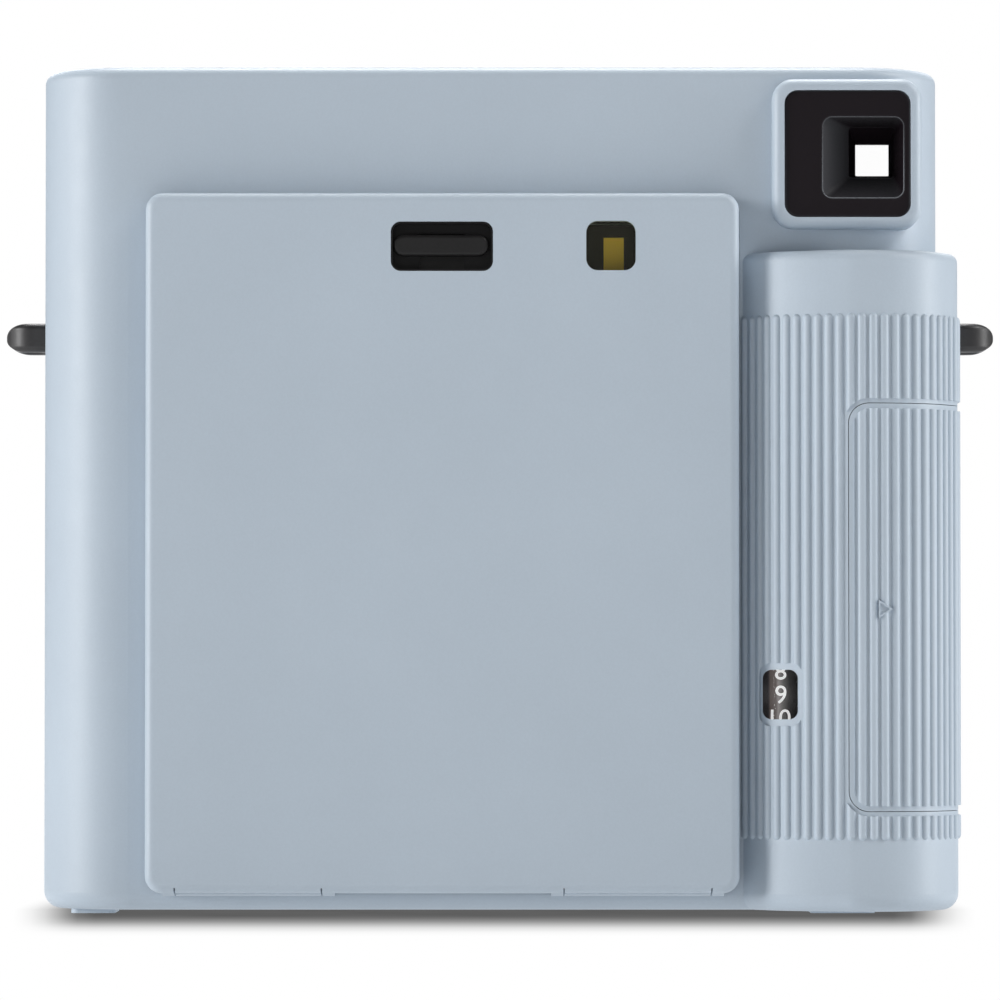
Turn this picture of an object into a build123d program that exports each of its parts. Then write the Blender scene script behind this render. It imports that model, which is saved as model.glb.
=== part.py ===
from build123d import *
import math
import os

os.makedirs("parts", exist_ok=True)

# Square-format instant film camera, in millimetres.
# The lens faces -Y, the film door faces +Y, the grip is on the -X side and +Z is up.
# The origin lies under the middle of the base, at the bottom of the feet.
# A "rect" is (x0, x1, z0, z1), seen along Y. A box is (x0, x1, y0, y1, z0, z1).

# ---------------------------------------------------------------- driving dimensions
# Body shells
BASE_Z, TOP_Z = 0.6, 118.7         # the feet reach down from BASE_Z to zero
BODY_X0, BODY_X1 = -61.8, 64.5     # side above the grip, plain side
FRONT_Y, REAR_Y = -18.75, 19.75
FRONT_CORNER_R, REAR_CORNER_R = 10.0, 12.5
BASE_EDGE_R = 2.4
WALL = 1.8
SEAM = 0.08                        # half of the parting gap between the shells

# Grip
GRIP_X = -64.25                    # smooth side of the grip
GRIP_TOP = 92.45
GRIP_CREST = (-50.9, 28.75)        # x, y of the rearmost line
RIB_PITCH = 1.57
RIB_START = 0.35                   # first rib, along the outline
RIB_R = 0.64
RIB_INSET = 0.24                   # rib centres inside the grip skin
RIB_Z = (10.5, 83.6)
RIB_CAP = 0.6                      # domed end of a rib

# Film door and chamber
DOOR = (-33.3, 49.35, 3.1, 100.55)
DOOR_Y0, DOOR_Y1 = 19.95, 25.75
HINGE_Y, HINGE_Z = 21.9, 4.4
KNUCKLE_R, PIN_R = 1.75, 0.8
TABS = ((24.9, 45.1), (-29.3, -9.0))       # x ranges of the hinge tabs
CHAMBER_MOUTH = (-30.5, 46.5, 7.0, 96.5)
LATCH = (0.97, 15.2, 89.6, 96.5)           # latch recess in the door
FILM_WINDOW = (-18.9, -12.0, 89.7, 96.6)
INSERT_GAP = 0.03                          # round the inserts in the door

# Lens
LENS_X, LENS_Z = 8.0, 48.0         # optical axis
RING_R = 36.0
COLLAR_R = 29.2
BORE_R = 27.2
BARREL_R = 27.1

# Openings and windows
EYEPIECE = (-57.4, -39.75, 97.35, 115.15)
EYE_BOSS = (-59.0, -38.05, 95.8, 116.8)
EYE_BOSS_Y = 22.5
EYE_TUNNEL = (-56.95, -44.45, 99.55, 111.85)
FUNNEL_MOUTH = (-56.4, -45.05, 100.05, 111.4)
FUNNEL_STEP = (-55.45, -48.95, 103.2, 110.35)
FUNNEL_HOLE = (-54.85, -50.1, 103.75, 108.25)
FLASH = (25.0, 53.0, 99.0, 112.5)
SENSOR = (9.0, 21.5, 99.0, 112.5)
FINDER = (-59.6, -45.0, 100.0, 114.5)
FINDER_BORE = (-58.3, -46.3, 101.3, 113.2)
WINDOW_R, WINDOW_GAP = 2.0, 0.05
COUNT_X, COUNT_Z = -39.0, 30.7     # centre of the counter window
COUNT_W, COUNT_H = 4.8, 6.9

# Battery bay
BATTERY_X1 = -48.3                 # cover edge on the rear
BATTERY_Y0 = 3.0                   # cover edge on the side
BATTERY_Z = (14.5, 71.1)
BATTERY_CORNER_R = 2.8
CELL_X, CELL_Y, CELL_R = -53.5, 15.2, 7.8

# Strap lugs
LUG_Y, LUG_Z = -1.0, 81.5
LUG_W, LUG_T = 10.0, 4.1
LUG_TIP = 70.55
LUG_GAP = 0.06

# Film rollers and gears
MODULE = 0.5
N_ROLLER, N_IDLER, N_PINION = 16, 30, 10
ROLLER_Z, ROLLER_R = 103.0, 3.9
ROLLER_Y = (2.0, 2.0 + MODULE * N_ROLLER)
IDLER_Y, IDLER_Z = -2.0, 92.2184
PINION_Y = 2.0

# Shutter button and base screws
BUTTON_X, BUTTON_Z, BUTTON_R = -50.0, 83.0, 6.2
SCREW_X, SCREW_Y = (40.0, -22.0), -6.0


# ---------------------------------------------------------------- helpers
def box(x0, x1, y0, y1, z0, z1):
    centre = Pos((x0 + x1) / 2, (y0 + y1) / 2, (z0 + z1) / 2)
    return centre * Box(x1 - x0, y1 - y0, z1 - z0)


def boxes(rows):
    result = box(*rows[0])
    for row in rows[1:]:
        result = result + box(*row)
    return result


def rod_x(y, z, radius, x0, x1):
    return Pos((x0 + x1) / 2, y, z) * Rot(0, 90, 0) * Cylinder(radius, x1 - x0)


def rod_y(x, z, radius, y0, y1):
    return Pos(x, (y0 + y1) / 2, z) * Rot(90, 0, 0) * Cylinder(radius, y1 - y0)


def rod_z(x, y, radius, z0, z1):
    return Pos(x, y, (z0 + z1) / 2) * Cylinder(radius, z1 - z0)


def axial(radius, y0, y1):
    """Rod on the optical axis."""
    return rod_y(LENS_X, LENS_Z, radius, y0, y1)


def rect_at(x, z, width, height):
    return (x - width / 2, x + width / 2, z - height / 2, z + height / 2)


def inset(rect, gap):
    """Rect made smaller by gap on every side, or larger if gap is negative."""
    x0, x1, z0, z1 = rect
    return (x0 + gap, x1 - gap, z0 + gap, z1 - gap)


def slab(rect, radius, y0, y1):
    """Rounded rect extruded from y0 to y1."""
    x0, x1, z0, z1 = rect
    plane = Plane(origin=((x0 + x1) / 2, y0, (z0 + z1) / 2), x_dir=(1, 0, 0), z_dir=(0, 1, 0))
    return extrude(plane * RectangleRounded(x1 - x0, z1 - z0, radius), amount=y1 - y0)


def prism(sketch, z0, z1):
    return extrude(Pos(0, 0, z0) * sketch, amount=z1 - z0)


def joined(shape):
    """One shape out of a boolean result or a list of shapes."""
    if isinstance(shape, list):
        return Compound(children=list(shape)) if len(shape) > 1 else shape[0]
    return shape


def biggest(shape):
    return max(joined(shape).solids(), key=lambda s: s.volume)


def put(shape, name):
    solids = joined(shape).solids()
    if len(solids) == 1:
        out = solids[0]
    else:
        out = Compound(label=name, children=[Solid(s.wrapped) for s in solids])
    export_step(out, "parts/" + name + ".step")


def safe_fillet(shape, edges, radius):
    # Guards against radii the kernel cannot build: tries smaller ones, then leaves the edges sharp
    for factor in (1.0, 0.8, 0.6, 0.4):
        try:
            result = fillet(edges, radius * factor)
            if result.is_valid:
                return result
        except Exception:
            pass
    return shape


def round_end(shape, axis, end, radius, longer_than=0):
    """Fillet the edges at the low (0) or high (-1) end of a shape along an axis."""
    edges = [e for e in shape.edges().group_by(axis)[end] if e.length > longer_than]
    return safe_fillet(shape, edges, radius)


# ---------------------------------------------------------------- plan profiles
def body_plan(off):
    """Body outline, moved inwards by off."""
    x0, x1, y0, y1 = BODY_X0 + off, BODY_X1 - off, FRONT_Y + off, REAR_Y - off
    plan = Pos((x0 + x1) / 2, (y0 + y1) / 2) * Rectangle(x1 - x0, y1 - y0)
    plan = fillet(plan.vertices().group_by(Axis.Y)[-1], REAR_CORNER_R - off)
    return fillet(plan.vertices().group_by(Axis.Y)[0], FRONT_CORNER_R - off)


# Grip outline (x, y), from the rear of the body round the -X side to the front
GRIP_START, GRIP_END = (-33.95, 19.7), (-38.5, -18.0)
FLANK_START = (-36.92, 23.24)
FLANK = [(-38.3, 24.42), (-40.4, 25.62), (-44.6, 27.42), (-47.4, 28.27)]
FLANK_ANGLE = math.radians(50)
NOSE_START, NOSE_MIDDLE, NOSE_TIP = (GRIP_X, -13.6), (-61.2, -20.9), (-52.5, -24.2)
NOSE_FLANK = (-44.0, -22.0)
# Corners of the grip profile hidden inside the body
INNER_FRONT, INNER_REAR = (-30.0, -10.0), (-30.0, 12.0)


def grip_skin():
    corner_r = GRIP_CREST[0] - GRIP_X
    corner_y = GRIP_CREST[1] - corner_r
    corner = [(GRIP_CREST[0] - corner_r * math.sin(i * math.pi / 8),
               corner_y + corner_r * math.cos(i * math.pi / 8)) for i in range(5)]
    flank_dir = (-math.cos(FLANK_ANGLE), math.sin(FLANK_ANGLE))
    return [
        Line(GRIP_START, FLANK_START),
        Spline(FLANK_START, *FLANK, GRIP_CREST, tangents=(flank_dir, (-1, 0))),
        Spline(*corner, tangents=((-1, 0), (0, -1))),
        Line((GRIP_X, corner_y), NOSE_START),
        Spline(NOSE_START, NOSE_MIDDLE, NOSE_TIP, tangents=((0, -1), (1, 0))),
        Spline(NOSE_TIP, NOSE_FLANK, GRIP_END, tangents=((1, 0), (0.7, 0.72))),
    ]


GRIP_SKIN = grip_skin()
SKIN_STEPS = (1, 8, 8, 1, 6, 6)        # samples along each piece when it is offset
GRIP_FACE = make_face([Line(INNER_REAR, GRIP_START)] + GRIP_SKIN
                      + [Line(GRIP_END, INNER_FRONT), Line(INNER_FRONT, INNER_REAR)])


def shifted(edge, off, steps, start):
    """Curve parallel to one piece of the skin, off outwards, joined to the point start."""
    points = []
    for i in range(steps + 1):
        point, tangent = edge.position_at(i / steps), edge.tangent_at(i / steps)
        points.append((point.X + tangent.Y * off, point.Y - tangent.X * off))
    if start is not None:
        points[0] = (start.X, start.Y)
    if steps == 1:
        return Line(points[0], points[1])
    first, last = edge.tangent_at(0), edge.tangent_at(1)
    return Spline(*points, tangents=((first.X, first.Y), (last.X, last.Y)))


def grip_plan(off):
    """Grip profile with its skin moved outwards by off."""
    pieces, last = [], None
    for edge, steps in zip(GRIP_SKIN, SKIN_STEPS):
        pieces.append(shifted(edge, off, steps, last))
        last = pieces[-1] @ 1
    start = pieces[0] @ 0
    pieces.append(Line((last.X, last.Y), INNER_FRONT))
    pieces.append(Line(INNER_FRONT, INNER_REAR))
    pieces.append(Line(INNER_REAR, (start.X, start.Y)))
    return make_face(pieces)


def grip_layer(outer, inner, z0, z1):
    """Band between two offsets of the grip skin."""
    return prism(grip_plan(outer), z0, z1) - prism(grip_plan(inner), z0 - 1, z1 + 1)


def count_frame(off, y0, y1):
    """Counter window block, larger by off on every side."""
    return slab(inset(rect_at(COUNT_X, COUNT_Z, COUNT_W, COUNT_H), -off), 1.2, y0, y1)


def battery_zone(off):
    """Corner block that bounds the battery cover, larger by off."""
    z0, z1 = BATTERY_Z
    radius = BATTERY_CORNER_R + off
    across = slab((-80.0, BATTERY_X1 + off, z0 - off, z1 + off), radius, -10.0, 40.0)
    y0, y1 = BATTERY_Y0 - off, 50
    plane = Plane(origin=(-90, 0, 0), x_dir=(0, 1, 0), z_dir=(1, 0, 0))
    outline = RectangleRounded(y1 - y0, z1 - z0 + 2 * off, radius)
    along = extrude(plane * (Pos((y0 + y1) / 2, (z0 + z1) / 2) * outline), amount=60)
    return across & along


def button_rod(radius, y0, y1):
    return rod_y(BUTTON_X, BUTTON_Z, radius, y0, y1)


# ---------------------------------------------------------------- outer skin
body = prism(body_plan(0), BASE_Z, TOP_Z)
body = round_end(body, Axis.Z, -1, 1.6)
body = round_end(body, Axis.Z, 0, BASE_EDGE_R)
grip = prism(GRIP_FACE, BASE_Z, GRIP_TOP)
grip = round_end(grip, Axis.Z, -1, 1.3)
grip = round_end(grip, Axis.Z, 0, BASE_EDGE_R)


def rib_centres():
    """Points at a constant pitch along the grip skin, set slightly inside it."""
    centres = []
    for i in range(int(sum(edge.length for edge in GRIP_SKIN) / RIB_PITCH) + 1):
        distance = RIB_START + i * RIB_PITCH
        for edge in GRIP_SKIN:
            if distance <= edge.length:
                point = edge.position_at(distance / edge.length)
                tangent = edge.tangent_at(distance / edge.length)
                centres.append((point.X - tangent.Y * RIB_INSET,
                                point.Y + tangent.X * RIB_INSET))
                break
            distance -= edge.length
    return centres


def rib(x, y):
    z0, z1 = RIB_Z[0] + RIB_CAP, RIB_Z[1] - RIB_CAP
    return rod_z(x, y, RIB_R, z0, z1) + Pos(x, y, z1) * Sphere(RIB_R) + Pos(x, y, z0) * Sphere(RIB_R)


# The skin stays plain round the counter window, the button and the battery cover's edge
count_keep = slab(rect_at(COUNT_X, COUNT_Z, COUNT_W + 0.9, COUNT_H + 1.9), 1.5, 17.0, 34.0)
plain_zone = count_keep + button_rod(BUTTON_R + 3.0, -30, -10)
cover_edge = battery_zone(0.65) - battery_zone(-0.75)
ribs = []
for x, y in rib_centres():
    piece = rib(x, y)
    if piece.bounding_box().min.X > -62:
        piece = piece - plain_zone
    piece = piece - cover_edge
    ribs += [s for s in joined(piece).solids() if s.volume > 0.5]
ribbed_skin = biggest(biggest(body + grip).fuse(*ribs))

# ---------------------------------------------------------------- hollow shell
cavity = biggest(prism(body_plan(WALL), BASE_Z + WALL, TOP_Z - WALL)
                 + prism(grip_plan(-WALL), BASE_Z + WALL, GRIP_TOP - WALL))
# Viewfinder boss on the rear corner
boss = slab(EYE_BOSS, 3.0, 9.0, EYE_BOSS_Y)
boss = round_end(boss, Axis.Y, -1, 1.35)
shell = biggest(ribbed_skin + (boss - cavity))
for x0, x1 in ((54.1, 60.3), (-52.7, -43.7)):
    for y0, y1 in ((3.0, 14.0), (-14.0, -4.0)):
        foot = box(x0, x1, y0, y1, 0, 1.2)
        shell = shell + fillet(foot.edges().filter_by(Axis.Z), 1.0)
shell = biggest(shell - cavity)

rear = biggest(shell & box(-90, 90, SEAM, 60, -5, 130))
front = biggest(shell & box(-90, 90, -60, -SEAM, -5, 130))
half_w, half_t = LUG_W / 2 + LUG_GAP, LUG_T / 2 + LUG_GAP
for x0, x1 in ((55, 75), (-75, -55)):
    lug_slot = box(x0, x1, LUG_Y - half_w, LUG_Y + half_w, LUG_Z - half_t, LUG_Z + half_t)
    rear = rear - lug_slot
    front = front - lug_slot
battery_opening = battery_zone(0.05)


# ---------------------------------------------------------------- strap lugs
def lug(base_x):
    """Lug on the +X side, for a shell side at base_x."""
    root = base_x - 5.0
    slot_x0, slot_x1 = base_x + 0.7, LUG_TIP - 2.1
    z0, z1 = LUG_Z - LUG_T / 2, LUG_Z + LUG_T / 2
    loop = Pos((root + LUG_TIP) / 2, LUG_Y) * Rectangle(LUG_TIP - root, LUG_W)
    loop = fillet(loop.vertices().group_by(Axis.X)[-1], 4.4)
    slot = Pos((slot_x0 + slot_x1) / 2, LUG_Y) * RectangleRounded(slot_x1 - slot_x0, 5.6, 1.5)
    body = extrude(Pos(0, 0, z0) * (loop - slot), amount=LUG_T)
    body = round_end(body, Axis.Z, -1, 0.9)
    body = round_end(body, Axis.Z, 0, 0.9)
    # Elliptical tip when seen along Y
    tip_x, side_x0 = LUG_TIP - 3.2, root - 2
    side = Plane.XZ * (Pos((side_x0 + tip_x) / 2, LUG_Z) * Rectangle(tip_x - side_x0, LUG_T)
                       + Pos(tip_x, LUG_Z) * Ellipse(LUG_TIP - tip_x, LUG_T / 2))
    body = body & extrude(side, amount=20, both=True)
    # Wide shoulder inside the shell
    return body + box(root - 1.5, base_x - 2.4, -7.6, 5.6, z0, z1)


put(lug(BODY_X1), "strap_lug_left")
put(mirror(lug(-GRIP_X), about=Plane.YZ), "strap_lug_right")

# ---------------------------------------------------------------- rear cover
SLOT_Y = (4.6, 7.6)                # film exit slot in the top
KEEPER_X = (2.0, 14.2)
EAR_GAP, EAR_END = 0.2, 1.9        # ear faces, measured from the tab end

rear = rear - slab(CHAMBER_MOUTH, 1.0, 15.0, 21.0)
rear = rear - slab(EYEPIECE, 1.9, 20.4, 30.0)
rear = rear - slab(EYE_TUNNEL, 0.8, 5.0, 22.0)
rear = rear - box(-29.0, 45.0, *SLOT_Y, TOP_Z - 4, TOP_Z + 2)
slot_lip = [e for e in rear.edges().filter_by(Axis.X)
            if abs(e.center().Z - TOP_Z) < 0.01 and 4 < e.center().Y < 8 and e.length > 60]
rear = safe_fillet(rear, slot_lip, 0.5)
rear = rear - count_frame(0.0, 17.0, 34.0)
rear = rear - battery_opening
# Hinge ears, one at each end of each door tab
for tab_x0, tab_x1 in TABS:
    for x0, x1 in ((tab_x0 - EAR_END, tab_x0 - EAR_GAP), (tab_x1 + EAR_GAP, tab_x1 + EAR_END)):
        rear = rear + (rod_x(HINGE_Y, HINGE_Z, KNUCKLE_R, x0, x1)
                       + box(x0, x1, REAR_Y - 0.9, HINGE_Y,
                             HINGE_Z - KNUCKLE_R, HINGE_Z + KNUCKLE_R))
    rear = rear - rod_x(HINGE_Y, HINGE_Z, PIN_R + 0.015, tab_x0 - 1.4, tab_x1 + 1.4)
# Groove beside the -X edge of the door
door_groove = slab(inset(DOOR, -0.22), 2.6, 18.8, 19.9) - slab(DOOR, 2.4, 18.0, 21.0)
rear = rear - (door_groove & box(-40.0, -31.0, 18.0, 21.0, 3.3, 99.0))
# Hooked latch keeper above the chamber mouth
rear = rear + boxes([(*KEEPER_X, REAR_Y - 0.5, 22.5, 97.55, 98.35),
                     (*KEEPER_X, 21.6, 22.5, 96.9, 98.0)])
# Screw bosses reaching over the front shell's floor
for x in SCREW_X:
    x0, x1 = x - 3.4, x + 3.4
    rear = rear + box(x0, x1, SEAM, 3.0, 1.4, 5.0) + box(x0, x1, -9.0, 2.0, 2.5, 5.0)
    rear = rear - rod_z(x, SCREW_Y, 0.86, 2.0, 6.0)
put(biggest(rear), "rear_cover")

# ---------------------------------------------------------------- front cover
front = front - battery_opening
# Screw holes, counterbored from below
for x in SCREW_X:
    front = front - rod_z(x, SCREW_Y, 1.05, -1, 3) - rod_z(x, SCREW_Y, 1.9, -1, 1.5)
# Lens collar and ring seat, kept clear of the base
collar = axial(COLLAR_R, -25.1, -17.0) + axial(RING_R + 1.2, -18.95, -17.2)
front = front + (collar & box(-90, 90, -30, -17.0, 0.62, 130))
front = front - axial(BORE_R, -30.0, -14.0)
for rect, radius in ((FLASH, WINDOW_R), (SENSOR, WINDOW_R), (FINDER, 1.6)):
    front = front - slab(rect, radius, -24.0, -10.0)
front = front - button_rod(BUTTON_R + 0.08, -30.0, -14.0)
put(biggest(front), "front_cover")

# ---------------------------------------------------------------- battery cover
# Triangular mark (x, z) that points towards -X
MARK = [(-52.42, 42.55 + 1.28), (-52.42, 42.55 - 1.28), (-54.42, 42.55)]
MARK_LIFT, RIM_LIFT = 0.30, 0.52   # pad and rim above the grip skin
PAD_SCALE, RIM_INNER_SCALE = 0.95, 0.66


def mark_prism(scale):
    """The mark's triangle scaled about its centre and extruded along Y."""
    centre_x, centre_z = (sum(p[i] for p in MARK) / 3 for i in (0, 1))
    points = [(centre_x + (x - centre_x) * scale, 20.0, centre_z + (z - centre_z) * scale)
              for x, z in MARK]
    return extrude(make_face(Polyline(*points, close=True)), amount=15, dir=(0, 1, 0))


cover = biggest((ribbed_skin & battery_zone(-0.05)) - prism(grip_plan(-1.6), -5, 130))
mark_pad = mark_prism(PAD_SCALE) & grip_layer(MARK_LIFT, -0.5, 35, 50)
mark_rim = (mark_prism(1.0) - mark_prism(RIM_INNER_SCALE)) & grip_layer(RIM_LIFT, -0.5, 35, 50)
cover = cover - (mark_prism(PAD_SCALE) - prism(grip_plan(MARK_LIFT), 34, 51))
cover = cover + mark_pad + mark_rim
# Stems and tongues that slip under the skin
for z in (24.0, 56.0):
    cover = cover + box(-51.2, -49.2, 24.7, 27.6, z, z + 6) + box(-51.2, -46.2, 24.7, 25.7, z, z + 6)
put(biggest(cover), "battery_cover")

# ---------------------------------------------------------------- battery holder and cells
HOLDER_Z = (13.0, 72.8)
BAY_Z = (14.6, 71.4)
CELLS = ((16.4, 42.4, 43.0), (43.2, 69.2, 69.9))       # can z0, can z1, top of the tip

holder = box(-62.3, -45.2, 5.4, 15.0, *HOLDER_Z) - rod_z(CELL_X, CELL_Y, CELL_R + 0.3, *BAY_Z)
for z0, z1 in ((HOLDER_Z[0], BAY_Z[0]), (BAY_Z[1], HOLDER_Z[1])):
    holder = holder + box(-61.6, -45.2, 15.0, 19.0, z0, z1)
put(holder, "battery_holder")
put([rod_z(CELL_X, CELL_Y, CELL_R, z0, z1) + rod_z(CELL_X, CELL_Y, 3.2, z1, tip)
     for z0, z1, tip in CELLS], "battery_cells")


def contact_plate(z0, z1):
    return box(CELL_X - 4, CELL_X + 4, CELL_Y - 4, CELL_Y + 4, z0, z1)


upper_contact = contact_plate(70.9, 71.3) + rod_z(CELL_X, CELL_Y, 2.2, 70.0, 70.9)
lower_contact = (contact_plate(14.65, 14.95) + rod_z(CELL_X, CELL_Y, 2.6, 14.95, 15.6)
                 + rod_z(CELL_X, CELL_Y, 1.8, 15.6, 16.3))
put([upper_contact, lower_contact], "battery_contacts")

# ---------------------------------------------------------------- film door
DOOR_WALL = 1.8
BAR_Z0 = HINGE_Z - 1.25            # underside of the knuckle bars
EAR_SLOT = 2.1                     # length of the slots for the hinge ears
EAR_CLEAR = KNUCKLE_R + 0.2
TAB_GAP = 0.22
door_x0, door_x1, door_z0, _ = DOOR

door = slab(DOOR, 2.4, DOOR_Y0, DOOR_Y1)
door = round_end(door, Axis.Y, -1, 1.25)
door = door - slab(inset(DOOR, DOOR_WALL), 1.0, 19.0, DOOR_Y1 - DOOR_WALL)
for x0, x1 in TABS:
    # Knuckle bar on the hinge line, and the tab under it
    door = door + (rod_x(HINGE_Y, HINGE_Z, KNUCKLE_R, x0, x1)
                   + box(x0, x1, HINGE_Y, 24.2, BAR_Z0, HINGE_Z + KNUCKLE_R)
                   + box(x0, x1, 20.0, HINGE_Y, BAR_Z0, HINGE_Z - 0.2))
    door = door + box(x0, x1, 22.0, DOOR_Y1 - 1.3, door_z0 - 0.14, door_z0 + 1.0)
    # Ear slots through the lower wall
    for ear_x0, ear_x1 in ((x0 - EAR_SLOT, x0), (x1, x1 + EAR_SLOT)):
        door = door - box(ear_x0, ear_x1, 19.0, HINGE_Y + EAR_CLEAR,
                          door_z0 - 1, HINGE_Z + EAR_CLEAR)
    # Narrow gaps at both ends of the tab
    for gap_x0, gap_x1 in ((x0 - TAB_GAP, x0), (x1, x1 + TAB_GAP)):
        door = door - box(gap_x0, gap_x1, 18.0, 27.0, door_z0 - 1, door_z0 + 0.75)
    door = door - rod_x(HINGE_Y, HINGE_Z, PIN_R + 0.05, x0 - 3, x1 + 3)
# The lower wall is relieved so that it clears the rear plane while it swings
door = door - box(door_x0 - 1, door_x1 + 1, 18.0, 20.4, door_z0 - 1, 4.9)
door = door - slab(LATCH, 1.4, 20, 30) - slab(FILM_WINDOW, 1.6, 20, 30)
# Inner stiffening ribs
for x in (-24.0, -4.0, 20.0, 40.0):
    door = door + box(x - 0.5, x + 0.5, 22.6, 24.2, 14, 84)
put(biggest(door), "film_door")
put([rod_x(HINGE_Y, HINGE_Z, PIN_R, x0 - 1.35, x1 + 1.35) for x0, x1 in TABS],
    "door_hinge_pins")

# ---------------------------------------------------------------- door latch and window
# Bezel: a cup with an inner flange and a slot in its floor
bezel = slab(inset(LATCH, INSERT_GAP), 1.4 - INSERT_GAP, 22.7, 25.6)
bezel = bezel - slab(inset(LATCH, 0.25), 1.15, 23.4, 26.5)
bezel = bezel + (slab(inset(LATCH, -1.2), 1.4, 22.7, 23.3)
                 - slab(inset(LATCH, 0.4), 1.0, 22.0, 24.0))
bezel = bezel - box(5.0, 11.2, 22.0, 24.0, 89.95, 94.95)
put(biggest(bezel), "latch_bezel")

slider = slab((1.55, 14.85, 91.75, 94.65), 1.44, 23.55, 25.55)
slider = round_end(slider, Axis.Y, -1, 0.5)
slider = slider + box(5.3, 10.9, 22.0, 24.0, 92.2, 94.6)       # neck through the bezel
slider = slider + box(-0.5, 16.6, 21.35, 22.3, 88.6, 95.2)     # plate inside the door
slider = slider + box(3.0, 13.2, 20.95, 21.5, 94.0, 96.8)      # tongue at the keeper
put(biggest(slider), "latch_slider")


def coil_z(x, y, radius, wire_r, z0, z1, turns):
    """Coil spring about a line along Z."""
    height = z1 - z0 - 2 * wire_r
    start_z = z0 + wire_r
    path = Helix(pitch=height / turns, height=height, radius=radius, center=(x, y, start_z))
    plane = Plane(origin=(x + radius, y, start_z), x_dir=(1, 0, 0), z_dir=(0, 1, 0))
    return sweep(plane * Circle(wire_r), path=path)


put(coil_z(x=8.0, y=22.2, radius=0.95, wire_r=0.2, z0=83.4, z1=88.4, turns=7), "latch_spring")
put(slab(inset(FILM_WINDOW, INSERT_GAP), 1.6 - INSERT_GAP, 24.1, 25.3), "film_window")

# ---------------------------------------------------------------- light seal, pack springs
# Strip round the chamber mouth, open at the keeper and along the bottom
seal = (slab((-31.35, 47.35, 6.45, 96.9), 0.8, 20.0, 20.7)
        - slab((-30.65, 46.65, 7.1, 96.6), 0.3, 19, 22))
seal = seal - box(1.5, 14.7, 19, 22, 96, 98) - box(-40, 60, 19, 22, 0, 8.6)
put(seal, "door_light_seal")

# Leaf spring profile: z, y of the face towards the film pack
LEAF = [(21, 23.2), (33, 21.35), (45, 21.15), (57, 21.35), (69, 23.2)]
LEAF_T = 0.35


def pack_spring(x0, x1):
    """Bowed leaf on its backing plate."""
    near = Spline(*LEAF)
    far = Spline(*[(z, y + LEAF_T) for z, y in reversed(LEAF)])
    profile = make_face([near, Line(near @ 1, far @ 0), far, Line(far @ 1, near @ 0)])
    plane = Plane(origin=(x0, 0, 0), x_dir=(0, 0, 1), z_dir=(1, 0, 0))
    # The plane's own y runs along -Y, so the leaf is mirrored back to +Y
    leaf = mirror(extrude(plane * profile, amount=x1 - x0), about=Plane.XZ)
    return biggest(leaf + box(x0, x1, 23.2, 23.9, 16, 74))


put([pack_spring(-21.0, -7.0), pack_spring(23.0, 37.0)], "pack_springs")

# ---------------------------------------------------------------- film pack
SHEET = (-28.0, 44.0)              # x range of the film
SHEET_Z = (9.2, 95.0)
SHEET_Y0, SHEET_PITCH, SHEET_T = 6.6, 0.62, 0.42

pack = box(-30.3, 46.3, 4.1, 20.8, 7.3, 96.3)
pack = safe_fillet(pack, pack.edges().filter_by(Axis.Y), 1.2)
pack = pack - box(-29.1, 45.1, 5.2, 19.8, 8.6, 95.2)
pack = pack - slab((LENS_X - 31.5, LENS_X + 31.5, 18.5, 81.5), 1.5, 3.0, 6.0)  # exposure frame
pack = pack - box(-28.3, 44.3, 5.2, 6.4, 94.0, 98.0)           # film exit
for x in (-14.0, 30.0):
    pack = pack - slab((x - 6, x + 6, 25, 60), 1.0, 19.0, 22.0)    # openings for the springs
pack = pack - box(-17.35, -14.45, 20.5, 22.0, 84.0, 94.6)      # bed for the index mark
put(biggest(pack), "film_cartridge")
put(box(-17.3, -14.5, 20.52, 20.85, 84.05, 94.55), "pack_index_mark")

stack = []
for i in range(10):
    y = SHEET_Y0 + i * SHEET_PITCH
    stack.append(box(*SHEET, y, y + SHEET_T, *SHEET_Z))
# Plate with a block behind the sheets
stack.append(box(*SHEET, 13.2, 14.2, *SHEET_Z) + box(-4.0, 20.0, 14.2, 19.6, 30, 60))
put(stack, "film_stack")

# ---------------------------------------------------------------- light box
CONE_REAR_Y, CONE_FRONT_Y = 1.6, -10.0
CONE_REAR_W, CONE_FRONT_W = 62.6, 45.0

light_box = box(-32.3, 48.3, 1.6, 17.6, 5.2, 98.0) - box(-30.8, 46.8, 3.6, 18.0, 6.8, 96.6)
light_box = light_box - box(-28.8, 44.8, 5.0, 6.8, 96.0, 99.0)     # film exit
light_box = light_box + (box(LENS_X - 34, LENS_X + 34, CONE_FRONT_Y, CONE_REAR_Y,
                             LENS_Z - 34, LENS_Z + 34)
                         + axial(28.9, -16.8, CONE_FRONT_Y))
light_cone = loft([Plane(origin=(LENS_X, y, LENS_Z), x_dir=(1, 0, 0), z_dir=(0, -1, 0))
                   * Rectangle(width, width)
                   for y, width in ((CONE_REAR_Y, CONE_REAR_W), (CONE_FRONT_Y, CONE_FRONT_W))])
light_box = light_box - light_cone
light_box = light_box - slab(rect_at(LENS_X, LENS_Z, CONE_REAR_W, CONE_REAR_W), 0.5, 1.0, 4.0)
light_box = light_box - axial(27.4, -18.0, -9.6)
put(biggest(light_box), "light_box")

# ---------------------------------------------------------------- gears
GEAR_X = (-34.7, -32.7)
# Tooth profile: angle as a share of the tooth pitch, height above the pitch circle
TOOTH = [(-0.5, -0.62), (-0.27, -0.62), (-0.205, -0.02), (-0.10, 0.42),
         (0.10, 0.42), (0.205, -0.02), (0.27, -0.62)]


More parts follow.
